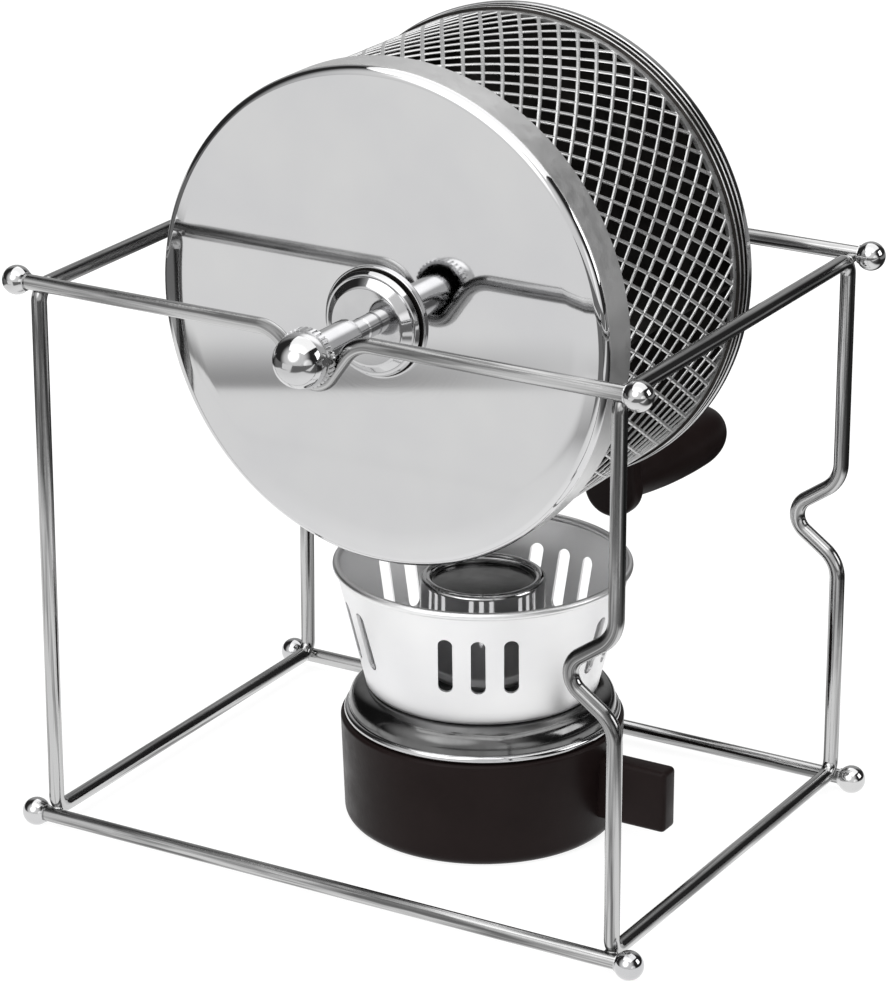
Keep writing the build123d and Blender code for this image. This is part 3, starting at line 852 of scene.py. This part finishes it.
def rear_band():
    """Band at the rear end of the mesh with two beads; below the beads' crests it is painted near-black
    as shade in the grooves.
    """
    bead = 0.55 * mm
    band_r = mesh_r + 0.3 * mm
    groove_r = band_r + 0.75 * bead
    near_y = rear_lip_y - 1.1 * mm
    far_y = near_y - 2.3 * mm
    points = [(mesh_r, rear_hoop_y)]
    for y in (far_y, near_y):
        points += arc((band_r, y), bead, -90, 90, 10)
    points += [(band_r, rear_lip_y), (band_r, mesh_rear_y), (mesh_r, mesh_rear_y)]
    bm = bmesh.new()
    turn(bm, DRUM, points, steps=180)
    # Painted shade: every face below the beads' crests takes the near-black lining.
    for face in bm.faces:
        if from_axis(face.calc_center_median()) < groove_r:
            face.material_index = 1
    new_piece(bm, "rear_band_turned", "drum", "mesh_steel", ["rear_hoop"], linings=["roasted_steel"])


# Crank
def lever():
    """Flat moulded arm with round ends and softly rounded edges."""
    top = axis + Vector((0, lever_y, 0))
    low = grip_axis + Vector((0, lever_y, 0))
    thick = lever_rear_y - lever_y
    down = (low - top).normalized()
    bm = bmesh.new()
    front = disc(bm, top, lever_width / 2, 64)
    for vert in front:
        if (vert.co - top).dot(down) > 0:
            vert.co += low - top
    push_out(bm, front, Vector((0, thick, 0)))
    round_off(bm, [e for e in bm.edges if e.calc_face_angle(0) > radians(60)], moulded_round, 5)
    new_piece(bm, "crank_lever", "drum", "brown_moulding", ["crank_arm"])


def lever_nut():
    """Domed hexagon nut on the crank's thread."""
    low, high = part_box("crank_nut")
    flats = (high.x - low.x) / 2
    hexagon_y = low.y + 4.0 * mm
    sunk_y = hexagon_y - 0.3 * mm
    dome_r = high.y - hexagon_y
    bm = bmesh.new()
    hexagon = disc(bm, axis + Vector((0, low.y, 0)), flats / cos(pi / 6), 6)
    push_out(bm, hexagon, Vector((0, hexagon_y - low.y, 0)))
    round_off(bm, list(bm.edges), 0.25 * mm, 2)
    points = [(0, sunk_y), (dome_r, sunk_y), *arc((0, hexagon_y), dome_r, 0, 90, 12)]
    turn(bm, DRUM, points, closed=False, steps=48)
    new_piece(bm, "crank_cap_nut", "drum", "bright_chrome", ["crank_nut"])


def handle():
    """Turned handle: slim at the arm, thickest towards its round end, with a recess for its screw."""
    tip_r = 4.6 * mm
    recess_r = 4.0 * mm
    recess_y = grip_end_y - 4.0 * mm
    bore_r = 2.1 * mm
    steps = 12
    nose = grip_end_y - grip_swell_y
    span = grip_swell_y - grip_y
    rise = grip_r - grip_base_r
    flank_radius = (span ** 2 + rise ** 2) / (2 * rise)
    points = [(bore_r, grip_y)]
    for k in range(steps + 1):
        d = span * k / steps
        flank_r = grip_r - flank_radius + (flank_radius ** 2 - (span - d) ** 2) ** 0.5
        points.append((flank_r, grip_y + d))
    for k in range(1, steps + 1):
        a = radians(90 * k / steps)
        points.append((tip_r + (grip_r - tip_r) * cos(a), grip_swell_y + nose * sin(a)))
    points += [(recess_r, grip_end_y), (recess_r, recess_y), (bore_r, recess_y)]
    bm = bmesh.new()
    turn(bm, GRIP, points, steps=80)
    new_piece(bm, "grip_turned", "crank_grip", "brown_moulding", ["grip"])


def handle_screw():
    """Long screw of the handle: its end is hidden in the lever, its slotted head lies in the recess."""
    head_end_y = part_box("grip_screw")[1].y
    head_r = half_width("grip_screw")
    head = 2.2 * mm
    head_round = 0.4 * mm
    driver_slot = 0.8 * mm
    pin_r = 2.0 * mm
    hidden_y = lever_y + 0.5 * mm
    points = [
        (0, hidden_y),
        (pin_r, hidden_y),
        (pin_r, head_end_y - head),
        (head_r, head_end_y - head),
        (head_r, head_end_y),
        (0, head_end_y),
    ]
    bm = bmesh.new()
    turn(bm, GRIP, points, [(4, head_round)], closed=False, steps=48)
    slot = bmesh.new()
    bmesh.ops.create_cube(slot, size=1)
    bmesh.ops.scale(slot, verts=slot.verts, vec=(3 * head_r, head, driver_slot))
    bmesh.ops.translate(slot, verts=slot.verts, vec=grip_axis + Vector((0, head_end_y, 0)))
    new_piece(cut_away(bm, slot), "grip_screw_slotted", "drum", "plain_steel", ["grip_screw"])


# Burner
def base_cup():
    """Moulded cup with a flat tab on its right."""
    foot_round = 3.0 * mm
    rim_round = 0.8 * mm
    points = [
        (0, 0),
        (base_bottom_r, 0),
        (base_r, base_height),
        (base_r - base_wall, base_height),
        (base_bottom_r - base_wall, base_floor),
        (0, base_floor),
    ]
    bm = bmesh.new()
    turn(bm, BURNER, points, [(1, foot_round), (2, rim_round)], closed=False, steps=160)
    tab = bmesh.ops.create_cube(bm, size=1)["verts"]
    start_x = burner.x + base_r - base_wall
    size = Vector((tab_end_x - start_x, tab_thick, tab_high_z - tab_low_z))
    spot = Vector(((start_x + tab_end_x) / 2, burner.y, (tab_low_z + tab_high_z) / 2))
    bmesh.ops.scale(bm, verts=tab, vec=size)
    bmesh.ops.translate(bm, verts=tab, vec=spot)
    round_off(bm, list({e for v in tab for e in v.link_edges}), moulded_round, 5)
    new_piece(bm, "burner_cup", "burner", "brown_moulding", ["burner_base"])


def lid_of_burner():
    """Pressed lid: beaded edge on the cup's rim, round shoulder, flat top, hole for the wick tube;
    shoulder and top painted darker than the bead, as shade and dark reflection under the shield.
    """
    bead = 1.1 * mm
    bead_at = lid_bead_r - bead
    bead_top_z = base_height + 2 * bead
    tuck_r = bead_at - 2.0 * mm
    top_r = 30.5 * mm
    sheet = 0.8 * mm
    hole_r = 12.0 * mm
    swell = 1.6 * mm
    points = [(tuck_r, base_height)]
    points += arc((bead_at, base_height + bead), bead, -90, 80, 14)
    points += bulge_arc((bead_at, bead_top_z), (top_r, lid_top_z), swell, 12)
    points += [
        (hole_r, lid_top_z),
        (hole_r, lid_top_z - sheet),
        (top_r, lid_top_z - sheet),
        (tuck_r, base_height + sheet),
    ]
    bm = bmesh.new()
    turn(bm, BURNER, points, steps=180)
    # Painted shade and dark reflection: above the bead the lid takes the darkened chrome.
    for face in bm.faces:
        if face.calc_center_median().z > bead_top_z:
            face.material_index = 1
    new_piece(
        bm, "burner_lid_pressed", "burner", "bright_chrome", ["burner_lid"],
        crease=40, linings=["smoked_chrome"]
    )


def bulge_arc(start, end, bulge, count):
    """Points on a round stretch between two points that swells past the straight line."""
    start = Vector(start)
    end = Vector(end)
    out = Vector(((end - start).y, -(end - start).x)).normalized()
    if out.x < 0:
        out = -out
    made = []
    for k in range(count + 1):
        share = k / count
        made.append(tuple(start.lerp(end, share) + out * bulge * 4 * share * (1 - share)))
    return made


def snuffer():
    """Cap over the wick tube, with a dished top inside a round rim; the dish is painted dark as the
    drum's dark reflection.
    """
    wall = 0.8 * mm
    dish = 2.0 * mm
    dish_r = snuffer_r - 3.0 * mm
    dish_z = snuffer_top_z - dish
    dish_round = 0.5 * mm
    rim_round = 1.4 * mm
    points = [
        (0, dish_z),
        (dish_r, dish_z),
        (dish_r, snuffer_top_z),
        (snuffer_r, snuffer_top_z),
        (snuffer_r, lid_top_z),
        (snuffer_r - wall, lid_top_z),
        (snuffer_r - wall, snuffer_top_z - wall),
        (dish_r + wall, snuffer_top_z - wall),
        (dish_r + wall, dish_z - wall),
        (0, dish_z - wall),
    ]
    bm = bmesh.new()
    turn(bm, BURNER, points, [(1, dish_round), (2, rim_round), (3, rim_round)], closed=False)
    # Painted dark reflection: the dish takes the darkened chrome.
    for face in bm.faces:
        spot = face.calc_center_median()
        radius = (spot - burner - Vector((0, 0, spot.z))).length
        if spot.z < snuffer_top_z - 0.4 * dish and radius < dish_r:
            face.material_index = 1
    new_piece(
        bm, "snuffer_cap_pressed", "snuffer", "bright_chrome", ["snuffer_cap"],
        linings=["smoked_chrome"]
    )


def shield():
    """Flaring wind shield with a rolled rim, groups of slots and a flange on the lid."""
    rim_r = shield_rim_r - shield_bead
    rim_z = shield_top_z - shield_bead
    flange_r = shield_bottom_r - shield_flange
    foot_round = 1.2 * mm
    inner_round = 0.5 * mm
    points = [
        (flange_r, lid_top_z),
        (shield_bottom_r, lid_top_z),
        (rim_r, rim_z),
        (rim_r - shield_wall, rim_z),
        (shield_bottom_r - shield_wall, lid_top_z + shield_wall),
        (flange_r, lid_top_z + shield_wall),
    ]
    bm = bmesh.new()
    turn(bm, BURNER, points, [(1, foot_round), (4, inner_round)], steps=240)
    bm = cut_away(bm, slot_cutters(rim_r))
    new_piece(bm, "wind_shield_spun", "shield", "shield_aluminium", ["wind_shield"])
    bm = bmesh.new()
    ring = arc((rim_r - shield_wall / 2, rim_z), shield_bead, 0, 360, 16)[:-1]
    turn(bm, BURNER, ring, steps=180)
    new_piece(bm, "wind_shield_rim", "shield", "shield_aluminium")


def slot_cutters(reach):
    """Round-ended bars where the slots go through the shield's wall, side by side in each group."""
    bm = bmesh.new()
    half = slot_width / 2
    bar_start = 0.6 * reach
    bar_length = 0.6 * reach
    for group in range(slot_groups):
        turned = Matrix.Rotation(slot_group_turn + 2 * pi * group / slot_groups, 3, "Z")
        for place in (-1, 0, 1):
            aside = slot_step * place
            verts = bmesh.ops.create_circle(bm, segments=32, radius=half, cap_ends=True)["verts"]
            for vert in verts:
                lift = slot_high_z - half if vert.co.y > 0 else slot_low_z + half
                vert.co = Vector((bar_start, vert.co.x + aside, vert.co.y + lift))
            verts += push_out(bm, verts, Vector((bar_length, 0, 0)))
            bmesh.ops.rotate(bm, verts=verts, cent=(0, 0, 0), matrix=turned)
            bmesh.ops.translate(bm, verts=verts, vec=burner)
    return bm


# The pieces
top_rail("front_top_rail", front_rail_y)
top_rail("rear_top_rail", rear_rail_y)
bottom_rail("front_bottom_rail", front_rail_y)
bottom_rail("rear_bottom_rail", rear_rail_y)
side_loop("left_side_loop", left_loop_x, False)
side_loop("right_side_loop", right_loop_x, True)
rail_balls("foot_balls", bottom_rail_z)
rail_balls("top_balls", top_rail_z)
corner_welds()

pan("lid_pan", "front_cap", lid_face_y, lid_lip_y, lid_edge, "drum_lid", "satin_chrome")
pan("rear_pan", "rear_cap", rear_face_y, rear_lip_y, rear_edge, "drum", "bright_chrome")
hub("lid_hub_turned", "lid_hub", lid_face_y, hub_tip_y, "drum_lid")
hub("rear_hub_turned", "rear_hub", rear_face_y, rear_hub_tip_y, "drum")
lid_trunnion()
crank_trunnion()
knob()
mesh_drum()
rear_band()
lever()
lever_nut()
handle()
handle_screw()
base_cup()
lid_of_burner()
snuffer()
shield()

# The pieces that stay as packed take their finish from their slot in the record
for entry in frame["record"]["subparts"]:
    node = nodes[entry["node"]]
    for place in node.material_slots:
        place.material = finishes[entry["material_slot"]]
# The stirring vanes inside the drum take the near-black steel as painted shade.
for place in nodes["stirring_vanes"].material_slots:
    place.material = finishes["roasted_steel"]


# Studio
def reckon(tree, operation, first, second):
    """One sum of two values or sockets."""
    node = tree.nodes.new("ShaderNodeMath")
    node.operation = operation
    for socket, value in zip(node.inputs, (first, second)):
        if isinstance(value, bpy.types.NodeSocket):
            tree.links.new(value, socket)
        else:
            socket.default_value = value
    return node.outputs["Value"]


def fade(tree, value, start, stop, low=0.0, high=1.0):
    """Soft change from the low value at the start to the high value at the stop."""
    node = tree.nodes.new("ShaderNodeMapRange")
    node.interpolation_type = "SMOOTHSTEP"
    node.inputs["From Min"].default_value = start
    node.inputs["From Max"].default_value = stop
    node.inputs["To Min"].default_value = low
    node.inputs["To Max"].default_value = high
    tree.links.new(value, node.inputs["Value"])
    return node.outputs["Result"]


def blend_values(tree, share, low, high):
    """The low value where the share is 0, the high one where it is 1."""
    node = tree.nodes.new("ShaderNodeMix")
    for name, value in (("Factor", share), ("A", low), ("B", high)):
        tree.links.new(value, node.inputs[name])
    return node.outputs["Result"]


def product(tree, first, *others):
    """All the values multiplied."""
    for value in others:
        first = reckon(tree, "MULTIPLY", first, value)
    return first


def largest(tree, first, *others):
    """The largest of the values."""
    for value in others:
        first = reckon(tree, "MAXIMUM", first, value)
    return first


def choose(tree, share, first, second):
    """The first shader where the share is 0, the second where it is 1."""
    node = tree.nodes.new("ShaderNodeMixShader")
    for socket, value in zip(node.inputs, (share, first, second)):
        tree.links.new(value, socket)
    return node.outputs["Shader"]


def mirrored_floor(tree):
    """Brightness of the floor in a mirror: pale paper around the object, and a dim room beyond it."""
    coords = tree.nodes.new("ShaderNodeTexCoord")
    split = tree.nodes.new("ShaderNodeSeparateXYZ")
    tree.links.new(coords.outputs["Object"], split.inputs["Vector"])
    x = split.outputs["X"]
    y = split.outputs["Y"]
    length = tree.nodes.new("ShaderNodeVectorMath")
    length.operation = "LENGTH"
    tree.links.new(coords.outputs["Object"], length.inputs[0])
    away = length.outputs["Value"]

    # Paper around the object
    left_edge = fade(tree, x, -0.40, -0.34)
    right_edge = fade(tree, x, 0.17, 0.25, 1, 0)
    front_edge = fade(tree, y, -0.36, -0.28)
    back_edge = fade(tree, y, 0.11, 0.19, 1, 0)
    paper = product(tree, back_edge, left_edge, right_edge, front_edge)

    # A tongue of paper to the front left
    slanting_edge = fade(tree, reckon(tree, "SUBTRACT", x, y), 0.015, 0.040)
    tongue_right = fade(tree, x, -0.09, -0.03, 1, 0)
    tongue_back = fade(tree, y, -0.30, -0.20, 1, 0)
    tongue = product(tree, slanting_edge, tongue_right, tongue_back)

    # A card at the front right
    card_left = fade(tree, x, 0.26, 0.32)
    card_back = fade(tree, y, -0.16, -0.20)
    card_front = fade(tree, y, -0.34, -0.30)
    card = product(tree, card_left, card_back, card_front)

    # A grey band of painted shade where the paper folds, deepest at the left
    across_paper = reckon(
        tree, "ADD", reckon(tree, "MULTIPLY", x, -0.495), reckon(tree, "MULTIPLY", y, -0.870)
    )
    fold_start = fade(tree, across_paper, 0.400, 0.406)
    fold_end = fade(tree, across_paper, 0.407, 0.467, 1, 0)
    fold_depth = fade(tree, x, -0.215, -0.12, 0.62, 0.14)
    painted_fold_shade = product(tree, fold_start, fold_end, fold_depth)
    # Painted pool of light: the paper's glow is brighter near the middle, fading out from 12 to 30 cm.
    white = product(tree, fade(tree, away, 0.12, 0.30, 1.15, 1.0), reckon(tree, "SUBTRACT", 1.0, painted_fold_shade))

    # The room: dim in front, nearly dark behind, paler at the left and far back
    dim_room = fade(tree, y, -0.2, 0.1, 0.20, 0.03)
    left_back = product(tree, fade(tree, y, 0.32, 0.42), fade(tree, x, -0.18, -0.08, 0.70, 0))
    far_back = product(tree, fade(tree, y, 0.10, 0.30), fade(tree, away, 0.50, 0.70, 0, 0.30))
    room = largest(tree, dim_room, left_back, far_back)
    return blend_values(tree, largest(tree, paper, tongue, card), room, white)


def studio_floor():
    """Pale paper: white to the camera, with the object's shadow, and patchy in polished metal."""
    bm = bmesh.new()
    bmesh.ops.create_grid(bm, x_segments=1, y_segments=1, size=4.0)
    mesh = bpy.data.meshes.new("studio_floor")
    bm.to_mesh(mesh)
    bm.free()
    floor = bpy.data.objects.new("studio_floor", mesh)
    bpy.context.scene.collection.objects.link(floor)
    material = bpy.data.materials.new("studio_paper")
    material.use_nodes = True
    tree = material.node_tree
    tree.nodes.clear()
    output = tree.nodes.new("ShaderNodeOutputMaterial")
    path = tree.nodes.new("ShaderNodeLightPath")
    paper = tree.nodes.new("ShaderNodeBsdfDiffuse")
    paper.inputs["Color"].default_value = (*grey(0.80), 1)
    shaded = tree.nodes.new("ShaderNodeBsdfDiffuse")
    shaded.inputs["Color"].default_value = (*grey(0.25), 1)
    glow = tree.nodes.new("ShaderNodeEmission")
    glow.inputs["Strength"].default_value = 0.88
    white = tree.nodes.new("ShaderNodeAddShader")
    tree.links.new(shaded.outputs["BSDF"], white.inputs[0])
    tree.links.new(glow.outputs["Emission"], white.inputs[1])
    mirrored = tree.nodes.new("ShaderNodeEmission")
    tree.links.new(mirrored_floor(tree), mirrored.inputs["Strength"])
    seen = reckon(tree, "MAXIMUM", path.outputs["Is Camera Ray"], path.outputs["Is Transmission Ray"])
    direct = choose(tree, seen, paper.outputs["BSDF"], white.outputs["Shader"])
    shown = choose(tree, path.outputs["Is Glossy Ray"], direct, mirrored.outputs["Emission"])
    tree.links.new(shown, output.inputs["Surface"])
    mesh.materials.append(material)


def studio_world():
    """Dark walls with a few pale glows. To the camera they are white."""
    # Each glow: its direction, the cosines at which it begins and is full, and its strength
    broad_front = ((0.05, -0.90, 0.43), 0.40, 0.85, 0.90)
    front_core = ((-0.05, -0.83, 0.55), 0.88, 0.99, 1.90)
    back_left = ((-0.42, 0.80, 0.42), 0.75, 0.95, 0.42)
    low_right = ((0.86, -0.50, 0.05), 0.93, 0.98, 0.90)
    world = bpy.data.worlds.new("studio")
    bpy.context.scene.world = world
    world.use_nodes = True
    tree = world.node_tree
    tree.nodes.clear()
    output = tree.nodes.new("ShaderNodeOutputWorld")
    walls = tree.nodes.new("ShaderNodeBackground")
    walls.inputs["Color"].default_value = (*grey(1), 1)
    coords = tree.nodes.new("ShaderNodeTexCoord")
    strength = 0.03
    for direction, start, stop, glow in (broad_front, front_core, back_left, low_right):
        facing = tree.nodes.new("ShaderNodeVectorMath")
        facing.operation = "DOT_PRODUCT"
        facing.inputs[1].default_value = direction
        tree.links.new(coords.outputs["Generated"], facing.inputs[0])
        glowing = fade(tree, facing.outputs["Value"], start, stop, 0.0, glow)
        strength = reckon(tree, "ADD", glowing, strength)
    tree.links.new(strength, walls.inputs["Strength"])
    white = tree.nodes.new("ShaderNodeBackground")
    white.inputs["Color"].default_value = (*grey(1), 1)
    path = tree.nodes.new("ShaderNodeLightPath")
    seen = reckon(tree, "MAXIMUM", path.outputs["Is Camera Ray"], path.outputs["Is Transmission Ray"])
    shown = choose(tree, seen, walls.outputs["Background"], white.outputs["Background"])
    tree.links.new(shown, output.inputs["Surface"])


def softbox(name, spot, target, size, power):
    """Flat lamp that faces its target and stays out of the picture."""
    lamp = bpy.data.lights.new(name, "AREA")
    lamp.shape = "RECTANGLE"
    lamp.size, lamp.size_y = size
    lamp.energy = power
    holder = bpy.data.objects.new(name, lamp)
    holder.location = spot
    holder.rotation_euler = (Vector(target) - Vector(spot)).to_track_quat("-Z", "Y").to_euler()
    holder.visible_camera = False
    bpy.context.scene.collection.objects.link(holder)


def photo_camera():
    """The camera of the photograph, before the object's right front corner and a little above it."""
    spot = (0.5091, -0.8693, 0.4658)
    tilt_down = radians(20.44)
    turn_left = radians(30.41)
    lens = bpy.data.cameras.new("photo_camera")
    lens.sensor_fit = "VERTICAL"
    lens.sensor_height = 36
    lens.lens = 152.17
    holder = bpy.data.objects.new("photo_camera", lens)
    holder.location = spot
    holder.rotation_euler = (radians(90) - tilt_down, 0, turn_left)
    bpy.context.scene.collection.objects.link(holder)
    bpy.context.scene.camera = holder


studio_floor()
studio_world()
softbox("overhead_softbox", (0.12, 0.05, 1.25), (0.12, 0.05, 0.0), (1.65, 1.85), 14.5)
softbox("right_softbox", (1.0, 0.40, 0.55), (0.0, 0.0, 0.13), (0.5, 0.5), 2.2)
photo_camera()
bpy.context.scene.view_settings.view_transform = "Standard"
